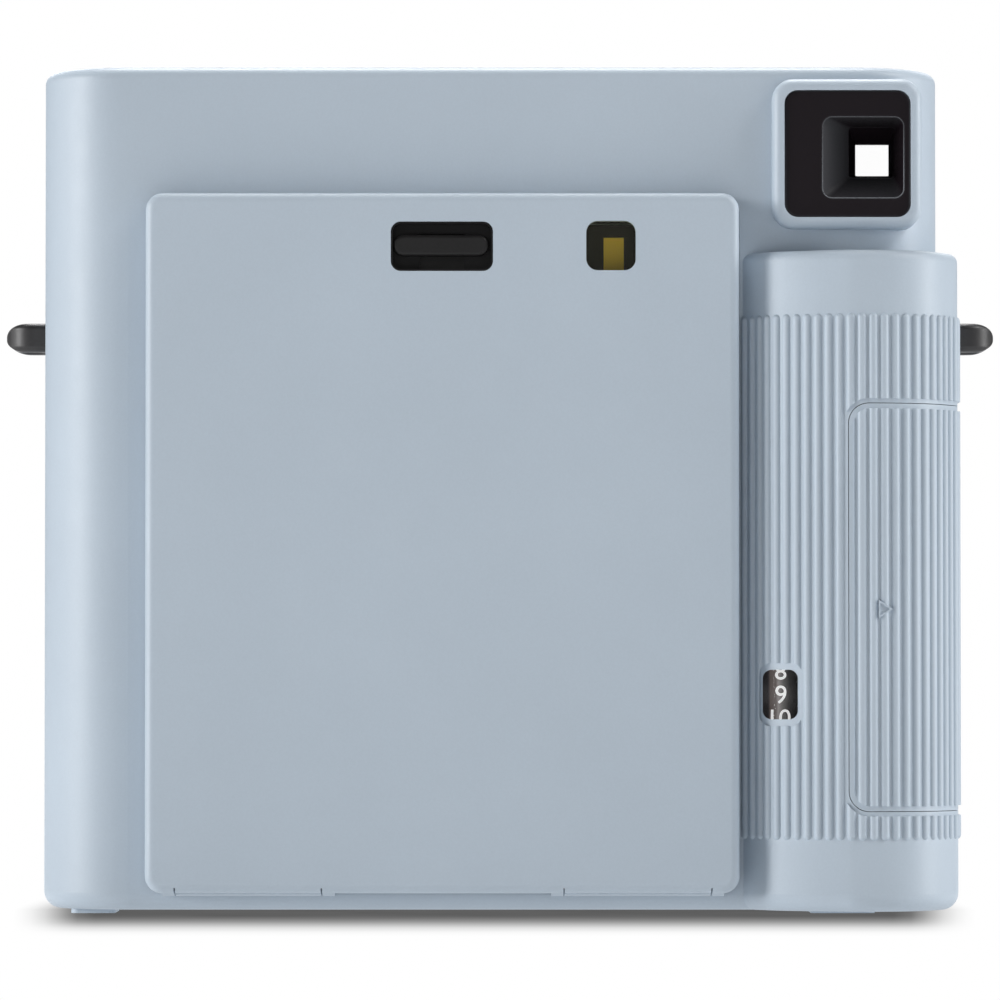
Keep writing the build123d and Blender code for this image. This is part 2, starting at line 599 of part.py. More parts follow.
def gear(teeth, phase, bore, y, z):
    """Gear about a line along X. phase: degrees from +Y towards +Z to a tooth's centre."""
    pitch_r = MODULE * teeth / 2.0
    pitch = 360.0 / teeth
    points = []
    for i in range(teeth):
        for share, height in TOOTH:
            angle = math.radians(phase + i * pitch + share * pitch)
            radius = pitch_r + height
            points.append((radius * math.cos(angle), radius * math.sin(angle)))
    face = make_face(Polyline(*points, close=True))
    if bore:
        face = face - Circle(bore)
    plane = Plane(origin=(GEAR_X[0], y, z), x_dir=(0, 1, 0), z_dir=(1, 0, 0))
    return extrude(plane * face, amount=GEAR_X[1] - GEAR_X[0])


def mesh_phase(phase, teeth, next_teeth, direction):
    """Phase of the next gear, which lies at this direction from the first one."""
    pitch = 360.0 / teeth
    offset = (phase - direction + pitch / 2) % pitch - pitch / 2
    return direction + 180.0 - offset * teeth / next_teeth + 180.0 / next_teeth


mesh_distance = MODULE * (N_IDLER + N_PINION) / 2
PINION_Z = IDLER_Z - math.sqrt(mesh_distance ** 2 - (PINION_Y - IDLER_Y) ** 2)
to_idler = math.degrees(math.atan2(IDLER_Z - ROLLER_Z, IDLER_Y - ROLLER_Y[0]))
to_pinion = math.degrees(math.atan2(PINION_Z - IDLER_Z, PINION_Y - IDLER_Y))
front_phase = 0.0
rear_phase = mesh_phase(front_phase, N_ROLLER, N_ROLLER, 0.0)
idler_phase = mesh_phase(front_phase, N_ROLLER, N_IDLER, to_idler)
pinion_phase = mesh_phase(idler_phase, N_IDLER, N_PINION, to_pinion)
put(gear(N_ROLLER, front_phase, 1.2, ROLLER_Y[0], ROLLER_Z), "roller_gear_front")
put(gear(N_ROLLER, rear_phase, 1.2, ROLLER_Y[1], ROLLER_Z), "roller_gear_rear")
put(gear(N_IDLER, idler_phase, 1.05, IDLER_Y, IDLER_Z), "idler_gear")
put(gear(N_PINION, pinion_phase, 0, PINION_Y, PINION_Z)
    + rod_x(PINION_Y, PINION_Z, 0.75, -39.0, GEAR_X[0]), "motor_pinion")

# ---------------------------------------------------------------- rollers, frame, motor
FRAME_Y = (-3.5, 15.5)
FRAME_Z = (98.6, 109.4)

for y, name in zip(ROLLER_Y, ("roller_front", "roller_rear")):
    put(rod_x(y, ROLLER_Z, ROLLER_R, -27.0, 43.0) + rod_x(y, ROLLER_Z, 1.18, -34.8, 47.2), name)

frame = boxes([(-30.5, -29.3, *FRAME_Y, *FRAME_Z),             # end plates
               (45.2, 46.4, *FRAME_Y, *FRAME_Z),
               (-36.4, 46.4, *FRAME_Y, 108.3, FRAME_Z[1])])    # top plate
frame = frame - box(-29.0, 45.0, 5.0, 7.0, 107, 111)           # film slot
frame = frame + box(-36.4, -35.2, -10.0, FRAME_Y[1], 77.0, FRAME_Z[1])     # gear plate
for y in ROLLER_Y:
    frame = frame - rod_x(y, ROLLER_Z, 1.24, -31, 48)
frame = frame - rod_x(PINION_Y, PINION_Z, 1.2, -37, -35)
frame = frame + rod_x(IDLER_Y, IDLER_Z, 1.0, -35.4, -32.75)    # idler stud
put(biggest(frame), "roller_frame")

# Motor can with two flats, a shaft hole and an end cap
motor = rod_x(PINION_Y, PINION_Z, 6.0, -56.5, -36.5) & box(
    -60, -30, PINION_Y - 7, PINION_Y + 7, PINION_Z - 4.9, PINION_Z + 4.9)
motor = motor - rod_x(PINION_Y, PINION_Z, 0.85, -39.4, -36.0)
motor = motor + rod_x(PINION_Y, PINION_Z, 1.6, -57.4, -56.4)
put(motor, "drive_motor")
put([box(-29.5, 45.5, y0, y1, 113.0, 116.7) for y0, y1 in ((2.9, 5.85), (6.25, 9.2))],
    "film_slot_seal")

# ---------------------------------------------------------------- power ring and barrel
GROOVES = 72
GROOVE_CIRCLE_R = RING_R + 0.35
SELFIE_X, SELFIE_Z, SELFIE_W = LENS_X - 15.0, LENS_Z + 11.0, 8.0

ring = axial(RING_R, -25.0, -19.05) - axial(COLLAR_R + 0.08, -30, -10)
ring = round_end(ring, Axis.Y, 0, 1.6, longer_than=200)
grooves = []
for i in range(GROOVES):
    angle = 2 * math.pi * i / GROOVES
    grooves.append(rod_y(LENS_X + GROOVE_CIRCLE_R * math.cos(angle),
                         LENS_Z + GROOVE_CIRCLE_R * math.sin(angle), 0.75, -23.2, -18.9))
put(biggest(ring.cut(*grooves)), "power_ring")

trim = axial(31.2, -26.1, -25.12) - axial(BORE_R + 0.1, -30, -20)
put(round_end(trim, Axis.Y, 0, 0.5, longer_than=190), "ring_trim")

barrel = axial(BARREL_R, -28.75, -10.2) - axial(25.6, -30.0, -9.0)
put(round_end(barrel, Axis.Y, 0, 0.5), "lens_barrel")

# Face plate with a lens hole, a mirror recess and three ring grooves
face_plate = (axial(25.55, -28.1, -26.6) - axial(9.6, -30, -20)
              - slab(rect_at(SELFIE_X, SELFIE_Z, SELFIE_W + 0.1, SELFIE_W + 0.1), 2.0, -30, -27.4))
for radius in (12.2, 22.6, 23.6):
    face_plate = face_plate - (axial(radius + 0.25, -29, -27.85) - axial(radius - 0.25, -30, -20))
put(biggest(face_plate), "barrel_face")
put(slab(rect_at(SELFIE_X, SELFIE_Z, SELFIE_W, SELFIE_W), 1.95, -28.35, -27.42),
    "selfie_mirror")

# ---------------------------------------------------------------- lenses
lens_cell = axial(9.55, -28.3, -22.0) - axial(6.5, -30, -20)
bore_edge = [e for e in lens_cell.edges().group_by(Axis.Y)[0] if e.length < 45]
put(chamfer(bore_edge, 0.9), "lens_cell")


def lens(y0, y1, radius, bulge):
    """Biconvex disc, turned about the optical axis."""
    sphere_r = (radius * radius + bulge * bulge) / (2 * bulge)
    half = radius / 2.0
    sag = sphere_r - math.sqrt(sphere_r * sphere_r - half * half)
    profile = make_face([
        ThreePointArc((0, y0), (half, y0 + sag), (radius, y0 + bulge)),
        Line((radius, y0 + bulge), (radius, y1 - bulge)),
        ThreePointArc((radius, y1 - bulge), (half, y1 - sag), (0, y1)),
        Line((0, y1), (0, y0)),
    ])
    plane = Plane(origin=(LENS_X, 0, LENS_Z), x_dir=(1, 0, 0), z_dir=(0, 0, 1))
    axis = Axis((LENS_X, 0, LENS_Z), (0, 1, 0))
    return revolve(plane * profile, axis=axis, revolution_arc=360)


put(lens(-27.7, -25.3, radius=6.42, bulge=0.75), "front_lens")
put(lens(-24.9, -22.9, radius=6.42, bulge=0.55), "rear_lens")

# ---------------------------------------------------------------- shutter
PIVOT_X, PIVOT_Z = 11.0, 6.0       # blade pivots, either side of the axis and above it

base = axial(25.5, -21.9, -20.5) - axial(5.2, -30, -10)
for side_x in (-PIVOT_X, PIVOT_X):
    base = base + rod_y(LENS_X + side_x, LENS_Z + PIVOT_Z, 0.8, -20.6, -18.9)
put(biggest(base), "shutter_base")


def blade(side_x, y0, y1):
    """Disc over the aperture with an arm to its pivot."""
    x, z = LENS_X + side_x, LENS_Z + PIVOT_Z
    disc = axial(6.1, y0, y1) + rod_y(x, z, 2.0, y0, y1)
    angle = math.degrees(math.atan2(PIVOT_Z, side_x))
    arm = (Pos(LENS_X + side_x / 2, (y0 + y1) / 2, LENS_Z + PIVOT_Z / 2) * Rot(0, -angle, 0)
           * Box(12.5, y1 - y0, 3.6))
    return biggest(disc + arm - rod_y(x, z, 0.86, y0 - 1, y1 + 1))


put(blade(PIVOT_X, -20.4, -20.1), "shutter_blade_left")
put(blade(-PIVOT_X, -19.95, -19.65), "shutter_blade_right")
put(slab(rect_at(LENS_X, LENS_Z - 19, 8, 7), 0.6, -20.45, -13.0)
    + rod_y(LENS_X, LENS_Z - 19, 1.5, -13.0, -11.5), "shutter_solenoid")

# ---------------------------------------------------------------- viewfinder
EYE_GAP = 0.04


def funnel_section(rect, y, radius):
    x0, x1, z0, z1 = rect
    plane = Plane(origin=((x0 + x1) / 2, y, (z0 + z1) / 2), x_dir=(1, 0, 0), z_dir=(0, -1, 0))
    return plane * RectangleRounded(x1 - x0, z1 - z0, radius)


eye = slab(inset(EYEPIECE, EYE_GAP), 1.9 - EYE_GAP, 20.45, 22.2)
eye = round_end(eye, Axis.Y, -1, 0.3)
eye = eye + slab(inset(EYE_TUNNEL, 0.05), 0.7, 12.6, 21.0)
# The funnel narrows towards the front in two lofts
eye = eye - loft([funnel_section(FUNNEL_MOUTH, 22.25, 1.3),
                  funnel_section(FUNNEL_STEP, 17.4, 0.5)])
eye = eye - loft([funnel_section(FUNNEL_STEP, 17.42, 0.5),
                  funnel_section(FUNNEL_HOLE, 14.0, 0.35)])
eye = eye - box(*FUNNEL_HOLE[:2], 12.0, 14.5, *FUNNEL_HOLE[2:])
put(biggest(eye), "viewfinder_eyepiece")
put(box(-55.8, -49.4, 11.6, 12.5, 103.0, 109.2), "eyepiece_lens")

# Square tube with an end frame that holds the eyepiece lens
tube = box(-57.9, -45.1, -13.4, 11.5, 100.2, 113.2) - box(-57.2, -45.8, -14, 12, 101.0, 112.4)
tube_end = (box(-57.9, -45.1, 10.7, 12.5, 100.2, 113.2)
            - box(-55.85, -49.35, 10, 13, 102.95, 109.25))
tube = (tube + tube_end) & box(-58.0, -45.0, -14.0, 12.55, 100, 113.3)
put(biggest(tube), "viewfinder_tube")
put(biggest(slab(inset(FINDER, WINDOW_GAP), 1.5, -19.6, -14.0)
            - slab(FINDER_BORE, 0.9, -25, -10)), "viewfinder_front_bezel")
put(slab(inset(FINDER_BORE, WINDOW_GAP), 0.85, -19.0, -17.9), "viewfinder_front_window")

# ---------------------------------------------------------------- flash, sensor, boards
TUBE_Y, TUBE_Z = -13.4, 105.75     # flash tube axis

for rect, name in ((FLASH, "flash_window"), (SENSOR, "sensor_window")):
    put(slab(inset(rect, WINDOW_GAP), WINDOW_R - WINDOW_GAP, -18.9, -17.3), name)

# Reflector: a block hollowed by an elliptical trough
reflector = slab((26.0, 52.0, 100.0, 111.5), 1.0, -17.2, -9.6)
trough_plane = Plane(origin=(27.2, 0, 0), x_dir=(0, 1, 0), z_dir=(1, 0, 0))
trough = extrude(trough_plane * (Pos(-17.4, TUBE_Z) * Ellipse(6.6, 5.1)), amount=23.6)
reflector = reflector - trough - rod_x(TUBE_Y, TUBE_Z, 1.35, 20, 60)
put(biggest(reflector), "flash_reflector")
put(rod_x(TUBE_Y, TUBE_Z, 1.2, 25.0, 53.0), "flash_tube")
put(rod_z(56.2, -6.5, 5.0, 28.0, 66.0) + rod_z(56.2, -6.5, 1.0, 26.2, 28.0),
    "flash_capacitor")

# Each board comes first in its table, then the components on it
FLASH_BOARD = [(24.0, 54.0, -9.4, -8.2, 98.0, 114.0),
               (28, 36, -8.2, -3.4, 99, 107),
               (40, 45, -8.2, -5.6, 100, 111)]
MAIN_BOARD = [(50.8, 61.6, 6.4, 7.4, 14.0, 77.0),
              (52.0, 60.0, 4.6, 6.4, 20, 28),
              (52.5, 59.5, 5.2, 6.4, 40, 47),
              (52.0, 57.0, 7.4, 8.8, 60, 70),
              (52.0, 60.5, 3.0, 6.4, 68, 75)]
put(boxes(FLASH_BOARD), "flash_board")
put(boxes(MAIN_BOARD), "main_board")

# ---------------------------------------------------------------- film counter
DRUM_Y, DRUM_R = 12.45, 6.45
DRUM_HALF = 2.45                   # half of the drum's width
RATCHET_TEETH, RATCHET_R = 12, 4.6


def drum_rod(radius, x0, x1):
    return rod_x(DRUM_Y, COUNT_Z, radius, x0, x1)


drum = drum_rod(DRUM_R, COUNT_X - DRUM_HALF, COUNT_X + DRUM_HALF) - drum_rod(1.05, -60, 0)
# Hollow round the hub on the +X side, ratchet pegs on the -X side
drum = drum - (drum_rod(DRUM_R - 1.0, COUNT_X + 1.0, COUNT_X + 2.6)
               - drum_rod(2.2, COUNT_X + 0.9, COUNT_X + 2.7))
pegs = []
for i in range(RATCHET_TEETH):
    angle = 2 * math.pi * i / RATCHET_TEETH
    pegs.append(rod_x(DRUM_Y + RATCHET_R * math.cos(angle),
                      COUNT_Z + RATCHET_R * math.sin(angle),
                      0.55, COUNT_X - 3.1, COUNT_X - DRUM_HALF))
put(biggest(drum.fuse(*pegs)), "counter_drum")
bracket = (box(-35.6, -34.6, 4.0, 16.8, 22.0, 39.0) + drum_rod(1.0, -42.9, -35.0)
           + box(-43.5, -34.6, 4.0, 5.0, 22.0, 39.0))
put(biggest(bracket), "counter_bracket")
# The window follows the curve of the grip, just under its skin
put(biggest(count_frame(-0.04, 16.0, 34.0) & grip_layer(-0.35, -1.25, 20, 45)),
    "counter_window")

# ---------------------------------------------------------------- shutter button
BUTTON_Y = -25.2                   # front of the button
DISH_R, DISH_DEPTH = 27.6, 0.4

button = button_rod(BUTTON_R, BUTTON_Y, -19.6)
button = round_end(button, Axis.Y, 0, 0.9)
button = button + button_rod(7.2, -18.4, -17.4)        # flange behind the front wall
button = button + button_rod(4.0, -20.0, -18.0)        # neck
button = button + button_rod(1.4, -17.5, -15.6)        # plunger
button = button - Pos(BUTTON_X, BUTTON_Y - (DISH_R - DISH_DEPTH), BUTTON_Z) * Sphere(DISH_R)
put(biggest(button), "shutter_button")
put(box(-54.5, -45.5, -11.6, -9.8, 76.5, 89.5) + button_rod(1.8, -14.0, -11.6),
    "shutter_switch")
SPRING_Y = (-17.35, -11.65)
spring = coil_z(x=0, y=0, radius=2.6, wire_r=0.25, z0=0, z1=SPRING_Y[1] - SPRING_Y[0], turns=4)
put(Pos(BUTTON_X, SPRING_Y[0], BUTTON_Z) * Rot(-90, 0, 0) * spring, "button_spring")

# ---------------------------------------------------------------- base screws
HEAD_Z = 0.75                      # underside of the head
CROSS_W, CROSS_L, CROSS_H = 0.45, 1.9, 0.8

screws = []
for x in SCREW_X:
    screw = rod_z(x, SCREW_Y, 0.84, 1.2, 4.8) + rod_z(x, SCREW_Y, 1.75, HEAD_Z, 1.45)
    for width, length in ((CROSS_W, CROSS_L), (CROSS_L, CROSS_W)):
        screw = screw - Pos(x, SCREW_Y, HEAD_Z) * Box(width, length, CROSS_H)
    screws.append(biggest(screw))
put(screws, "base_screws")
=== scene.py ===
# A film camera standing on the floor, in metres: +Z is up, the film door and the eyepiece
# face +Y towards the viewer, the front faces -Y, and +X is on the viewer's left.
import bpy, bmesh, math
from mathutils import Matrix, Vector

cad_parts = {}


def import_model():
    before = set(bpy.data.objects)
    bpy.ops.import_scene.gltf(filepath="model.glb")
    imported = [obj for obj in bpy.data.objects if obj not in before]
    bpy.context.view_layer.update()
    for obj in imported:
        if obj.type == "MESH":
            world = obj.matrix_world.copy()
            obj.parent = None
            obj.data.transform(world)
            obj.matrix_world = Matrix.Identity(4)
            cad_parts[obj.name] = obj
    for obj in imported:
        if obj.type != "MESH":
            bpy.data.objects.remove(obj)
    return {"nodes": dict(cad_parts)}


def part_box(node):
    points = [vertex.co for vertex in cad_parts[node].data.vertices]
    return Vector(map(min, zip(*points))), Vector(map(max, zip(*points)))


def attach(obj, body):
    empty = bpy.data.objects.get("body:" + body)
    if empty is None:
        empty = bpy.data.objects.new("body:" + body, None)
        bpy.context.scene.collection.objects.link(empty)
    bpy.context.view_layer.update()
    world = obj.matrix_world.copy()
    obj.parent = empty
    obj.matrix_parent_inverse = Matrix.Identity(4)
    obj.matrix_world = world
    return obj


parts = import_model()["nodes"]
scene = bpy.context.scene


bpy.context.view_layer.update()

MM = 0.001
CAMERA_PLACE = Vector((0.0, 0.91975, 0.0313))
CAMERA_AIM = Vector((0.0, 0.01975, 0.0579))


# ------------------------------------------------------------------ shader graph
class Graph:
    """Builds the node tree of a material or a world."""

    def __init__(self, owner, output="OutputMaterial"):
        self.owner = owner
        owner.use_nodes = True
        self.tree = owner.node_tree
        self.tree.nodes.clear()
        self.output = self.tree.nodes.new("ShaderNode" + output)

    def feed(self, socket, value):
        if hasattr(value, "is_output"):
            self.tree.links.new(value, socket)
        elif socket.type == "RGBA":
            socket.default_value = (*value[:3], 1.0)
        else:
            socket.default_value = value

    def node(self, kind, *values, **settings):
        """Adds a node and returns its outputs.

        Values fill the inputs in order. Capitalised settings are inputs, others properties.
        """
        node = self.tree.nodes.new("ShaderNode" + kind)
        for key, value in settings.items():
            if key[0].isupper():
                self.feed(node.inputs[key.replace("_", " ")], value)
            else:
                setattr(node, key, value)
        for socket, value in zip(node.inputs, values):
            if value is not None:
                self.feed(socket, value)
        return node.outputs

    def noise(self, scale, detail=3.0, rough=0.55, stretch=None):
        vector = self.place
        if stretch:
            vector = self.node("Mapping", Vector=vector, Scale=stretch)["Vector"]
        return self.node("TexNoise", Vector=vector, Scale=scale, Detail=detail,
                         Roughness=rough)["Fac"]

    def remap(self, value, to=(0.0, 1.0), span=(0.3, 0.7)):
        """Carries span over to the range `to`; the default span suits plain noise."""
        return self.node("MapRange", Value=value, From_Min=span[0], From_Max=span[1],
                         To_Min=to[0], To_Max=to[1])["Result"]

    def math(self, operation, first, second=None, clamp=False):
        return self.node("Math", first, second, operation=operation, use_clamp=clamp)[0]

    def add(self, first, second, clamp=False):
        return self.math("ADD", first, second, clamp)

    def times(self, first, *others):
        for other in others:
            first = self.math("MULTIPLY", first, other)
        return first

    def mix(self, factor, first, second):
        # sockets 6 and 7 are the colours A and B, output 2 is the mixed colour
        node = self.tree.nodes.new("ShaderNodeMix")
        node.data_type = "RGBA"
        for index, value in ((0, factor), (6, first), (7, second)):
            self.feed(node.inputs[index], value)
        return node.outputs[2]

    def ramp(self, value, stops):
        """Colour ramp; the first and last stops take the two elements it starts with."""
        node = self.tree.nodes.new("ShaderNodeValToRGB")
        elements = node.color_ramp.elements
        for element, (position, color) in zip(elements, (stops[0], stops[-1])):
            element.position = position
            element.color = (*color, 1)
        for position, color in stops[1:-1]:
            elements.new(position).color = (*color, 1)
        self.feed(node.inputs["Fac"], value)
        return node.outputs["Color"]

    def bump(self, height, strength, distance):
        return self.node("Bump", Height=height, Strength=strength,
                         Distance=distance)["Normal"]

    def edge(self, radius, span):
        """0 on flats, 1 along convex and concave edges."""
        rounded = self.node("Bevel", samples=4, Radius=radius)["Normal"]
        normal = self.node("NewGeometry")["Normal"]
        dot = self.node("VectorMath", rounded, normal, operation="DOT_PRODUCT")["Value"]
        return self.remap(self.math("SUBTRACT", 1.0, dot), span=span)

    def close(self, shader):
        self.feed(self.output.inputs["Surface"], shader)
        return self.owner

    def principled(self, **inputs):
        return self.close(self.node("BsdfPrincipled", **inputs)["BSDF"])


def new_graph(name):
    graph = Graph(bpy.data.materials.new(name))
    graph.place = graph.node("TexCoord")["Object"]
    return graph


def tone(color, gain, lift=0.0):
    return tuple(min(1.0, c * gain + lift) for c in color)


def gray(value):
    return (value, value, value)


# ------------------------------------------------------------------ material families
def plastic(name, color, rough=0.42, grain=3200.0, grain_bump=0.10, variation=0.02,
            wear=0.35, wear_color=None, specular=0.5, coat=0.0, dust=0.02):
    """Moulded plastic: fine grain, broken wear along the edges and a trace of dust."""
    m = new_graph(name)
    fine = m.noise(grain, detail=2.0, rough=0.6)
    shade = m.remap(m.noise(38.0, detail=4.0), to=(1.0 - variation, 1.0 + variation))
    speck = m.remap(fine, to=(1.0 - variation * 0.6, 1.0 + variation * 0.6),
                    span=(0.35, 0.65))
    tinted = m.node("VectorMath", color, operation="SCALE", Scale=m.times(shade, speck))
    broken = m.remap(m.noise(700.0, detail=4.0, rough=0.7), span=(0.42, 0.62))
    edge = m.edge(radius=0.0005, span=(0.02, 0.25))
    worn = m.times(m.math("MULTIPLY", edge, broken, clamp=True), wear)
    base = m.mix(worn, tinted["Vector"], wear_color or tone(color, gain=1.18, lift=0.02))
    patches = m.remap(m.noise(160.0, detail=5.0, rough=0.65), span=(0.55, 0.8))
    base = m.mix(m.times(patches, dust), base, (0.72, 0.72, 0.70))
    roughness = m.remap(m.noise(420.0), to=(rough - 0.035, rough + 0.035))
    return m.principled(
        Base_Color=base, Roughness=m.add(roughness, m.times(worn, -0.08)),
        Normal=m.bump(fine, strength=grain_bump, distance=0.00006),
        Specular_IOR_Level=specular, Coat_Weight=coat, Coat_Roughness=0.12)


def metal(name, color, rough=0.28, stretch=(1, 1, 1), wear=0.2):
    """Bare metal with streaks; stretch draws them out along an axis."""
    m = new_graph(name)
    streak = m.noise(2500.0, detail=4.0, rough=0.6, stretch=stretch)
    base = m.mix(m.remap(m.noise(60.0), to=(0.0, 0.35)), color, tone(color, gain=0.82))
    worn = m.times(m.edge(radius=0.0003, span=(0.02, 0.2)), wear)
    base = m.mix(worn, base, tone(color, gain=1.2))
    return m.principled(
        Base_Color=base, Roughness=m.remap(streak, to=(rough - 0.08, rough + 0.10)),
        Metallic=1.0, Normal=m.bump(streak, strength=0.12, distance=0.00003))


def window(name, tint=(0.97, 0.98, 0.98), gloss=(1, 1, 1), rough=0.03, haze=0.0,
           haze_color=(0.5, 0.5, 0.5), sheen=0.06, micro_bump=0.0, rim=0.22, dull=0.95):
    """Thin clear plate: a straight view through it, with a sheen that grows by rim with
    angle. Smears darken the tint down to dull."""
    m = new_graph(name)
    smear = m.noise(90.0, detail=5.0, rough=0.7)
    see_through = m.mix(m.remap(smear, span=(0.35, 0.7)), tint, tone(tint, gain=dull))
    mirror = dict(Color=gloss,
                  Roughness=m.remap(smear, to=(rough, rough + 0.05), span=(0.3, 0.75)))
    if micro_bump > 0:
        mirror["Normal"] = m.bump(m.noise(2400.0, detail=2.0), strength=micro_bump,
                                  distance=0.00004)
    facing = m.node("LayerWeight", Blend=0.25)["Facing"]
    shader = m.node("MixShader", m.add(m.times(facing, rim), sheen, clamp=True),
                    m.node("BsdfTransparent", Color=see_through)[0],
                    m.node("BsdfGlossy", **mirror)[0])[0]
    if haze > 0:
        shader = m.node("MixShader", haze, shader,
                        m.node("BsdfDiffuse", Color=haze_color)[0])[0]
    return m.close(shader)


# ------------------------------------------------------------------ one-off materials
def eyepiece():
    """Black funnel with painted light: a faint emission on its slanted sides and rim,
    growing near the mouth, stands in for the light they catch.
    """
    back_y, mouth_y = 0.0176, 0.0222    # depth over which the glow grows
    inside_y = 0.0174                   # the glow starts beyond this
    top_z, low_z = 0.1105, 0.1030       # the rim glows more towards low_z
    m = new_graph("eyepiece_black")
    fine = m.noise(2400.0, detail=2.0, rough=0.6)
    normal = m.node("SeparateXYZ", m.node("NewGeometry")["True Normal"])
    place = m.node("SeparateXYZ", m.place)
    base = m.mix(m.remap(m.noise(60.0, detail=4.0)),
                 (0.0080, 0.0052, 0.0074), (0.0098, 0.0068, 0.0092))
    # rim marks the funnel edges; the next line paints them lighter as a painted highlight
    rim = m.edge(radius=0.00035, span=(0.03, 0.30))
    base = m.mix(m.times(rim, 0.5), base, (0.05, 0.05, 0.055))

    # painted light: emission on the flank, sill, roof and rim stands in for light falling
    # into the funnel
    depth = m.remap(place["Y"], to=(0.25, 1.0), span=(back_y, mouth_y))
    inside = m.math("GREATER_THAN", place["Y"], inside_y)
    flank = m.times(m.remap(normal["X"], span=(-0.2, -0.8)), depth, inside)
    sill = m.times(m.remap(normal["Z"], to=(0.0, 0.45), span=(0.3, 0.9)), depth, inside)
    roof = m.times(m.remap(normal["Z"], to=(0.0, 0.35), span=(-0.3, -0.9)),
                   m.times(depth, depth), inside)
    low = m.remap(place["Z"], to=(0.35, 1.0), span=(top_z, low_z))
    painted_side_light = m.times(m.add(m.add(flank, sill), roof), 0.036)
    painted_rim_highlight = m.times(rim, low, m.times(inside, 0.42))
    return m.principled(
        Base_Color=base, Roughness=m.remap(fine, to=(0.40, 0.50), span=(0.35, 0.65)),
        Normal=m.bump(fine, strength=0.10, distance=0.00006), Specular_IOR_Level=0.16,
        Emission_Color=(0.92, 1.0, 1.08), Emission_Strength=m.add(painted_side_light, painted_rim_highlight))


# share of the drum's length from +X to -X, colour of the painted sheen there (emission
# standing in for reflected light)
DRUM_PAINTED_SHEEN = (
    (0.00, (0.010, 0.008, 0.008)), (0.14, (0.012, 0.010, 0.010)),
    (0.19, (0.085, 0.066, 0.060)), (0.36, (0.095, 0.078, 0.072)),
    (0.42, (0.24, 0.225, 0.22)), (0.56, (0.10, 0.098, 0.096)),
    (0.74, (0.022, 0.021, 0.021)), (0.88, (0.002, 0.002, 0.002)),
    (1.00, (0, 0, 0)),
)


def drum():
    """Dark drum with a painted sheen: an emission that changes along its length stands in
    for the light it reflects.
    """
    painted_sheen_x = (-0.0369, -0.0417)
    m = new_graph("drum_black")
    place = m.node("SeparateXYZ", m.place)
    # painted sheen: emission colour along X in place of a reflected highlight
    sheen = m.ramp(m.remap(place["X"], span=painted_sheen_x), DRUM_PAINTED_SHEEN)
    fine = m.noise(1500.0, detail=3.0, rough=0.6, stretch=(1, 6, 6))
    base = m.mix(m.remap(fine), (0.012, 0.011, 0.011), (0.022, 0.020, 0.020))
    worn = m.times(m.edge(radius=0.0003, span=(0.02, 0.2)), 0.3)
    base = m.mix(worn, base, (0.08, 0.08, 0.08))
    return m.principled(
        Base_Color=base, Roughness=m.remap(fine, to=(0.30, 0.40)),
        Normal=m.bump(fine, strength=0.08, distance=0.00004), Specular_IOR_Level=0.4,
        Emission_Color=sheen, Emission_Strength=1.0)


def ink():
    """White ink of the numerals, with painted light: a weak emission stands in for the light
    falling on them.
    """
    m = new_graph("digit_ink")
    fine = m.noise(1800.0, detail=3.0)
    base = m.mix(m.remap(fine), (0.84, 0.84, 0.82), (0.78, 0.78, 0.76))
    worn = m.times(m.edge(radius=0.0001, span=(0.02, 0.2)), 0.2)
    base = m.mix(worn, base, (0.6, 0.6, 0.6))
    # the emission here is painted light on the numerals
    return m.principled(
        Base_Color=base, Roughness=m.remap(fine, to=(0.5, 0.6)),
        Normal=m.bump(fine, strength=0.1, distance=0.00002),
        Emission_Color=(0.9, 0.9, 0.9), Emission_Strength=0.85)


# ------------------------------------------------------------------ materials on the pieces
BODY = (0.472, 0.546, 0.623)
BLACK_WEAR = (0.07, 0.07, 0.07)
material_of = {}


def dress(pieces, material):
    for piece in pieces.split():
        material_of[piece] = material


# body plastics
dress("rear_cover front_cover", plastic("shell_plastic", BODY, rough=0.44))
dress("film_door", plastic("door_plastic", BODY, rough=0.44, grain=3000.0))
dress("battery_cover", plastic("cover_plastic", tone(BODY, gain=0.995), rough=0.45))
dress("power_ring", plastic("ring_plastic", tone(BODY, gain=0.93), rough=0.40))
dress("shutter_button",
      plastic("button_plastic", tone(BODY, gain=0.9), rough=0.30, grain_bump=0.04, coat=0.1))

# black plastics
dress("battery_holder film_cartridge roller_frame counter_bracket shutter_switch"
      " latch_bezel lens_barrel barrel_face shutter_base",
      plastic("black_matte", (0.0105, 0.0100, 0.0108), rough=0.52, grain=2600.0,
              grain_bump=0.14, variation=0.12, wear=0.25,
              wear_color=(0.035, 0.035, 0.037), specular=0.22, dust=0.004))
dress("light_box viewfinder_tube",
      plastic("black_inside", (0.012, 0.012, 0.013), rough=0.7, grain=2600.0,
              grain_bump=0.2, variation=0.15, wear=0.1, wear_color=(0.04, 0.04, 0.04)))
dress("viewfinder_eyepiece", eyepiece())
dress("ring_trim viewfinder_front_bezel lens_cell",
      plastic("black_gloss", (0.012, 0.012, 0.013), rough=0.14, grain_bump=0.02,
              variation=0.1, wear=0.2, wear_color=(0.07, 0.07, 0.075), coat=0.4))
dress("latch_slider",
      plastic("latch_plastic", (0.0125, 0.0120, 0.0123), rough=0.42, grain_bump=0.08,
              variation=0.1, wear=0.5, wear_color=BLACK_WEAR, specular=0.25, dust=0.004))
dress("strap_lug_left strap_lug_right",
      plastic("lug_plastic", (0.026, 0.025, 0.026), rough=0.40, grain_bump=0.05,
              variation=0.1, wear=0.3, wear_color=(0.07, 0.07, 0.072), dust=0.004))

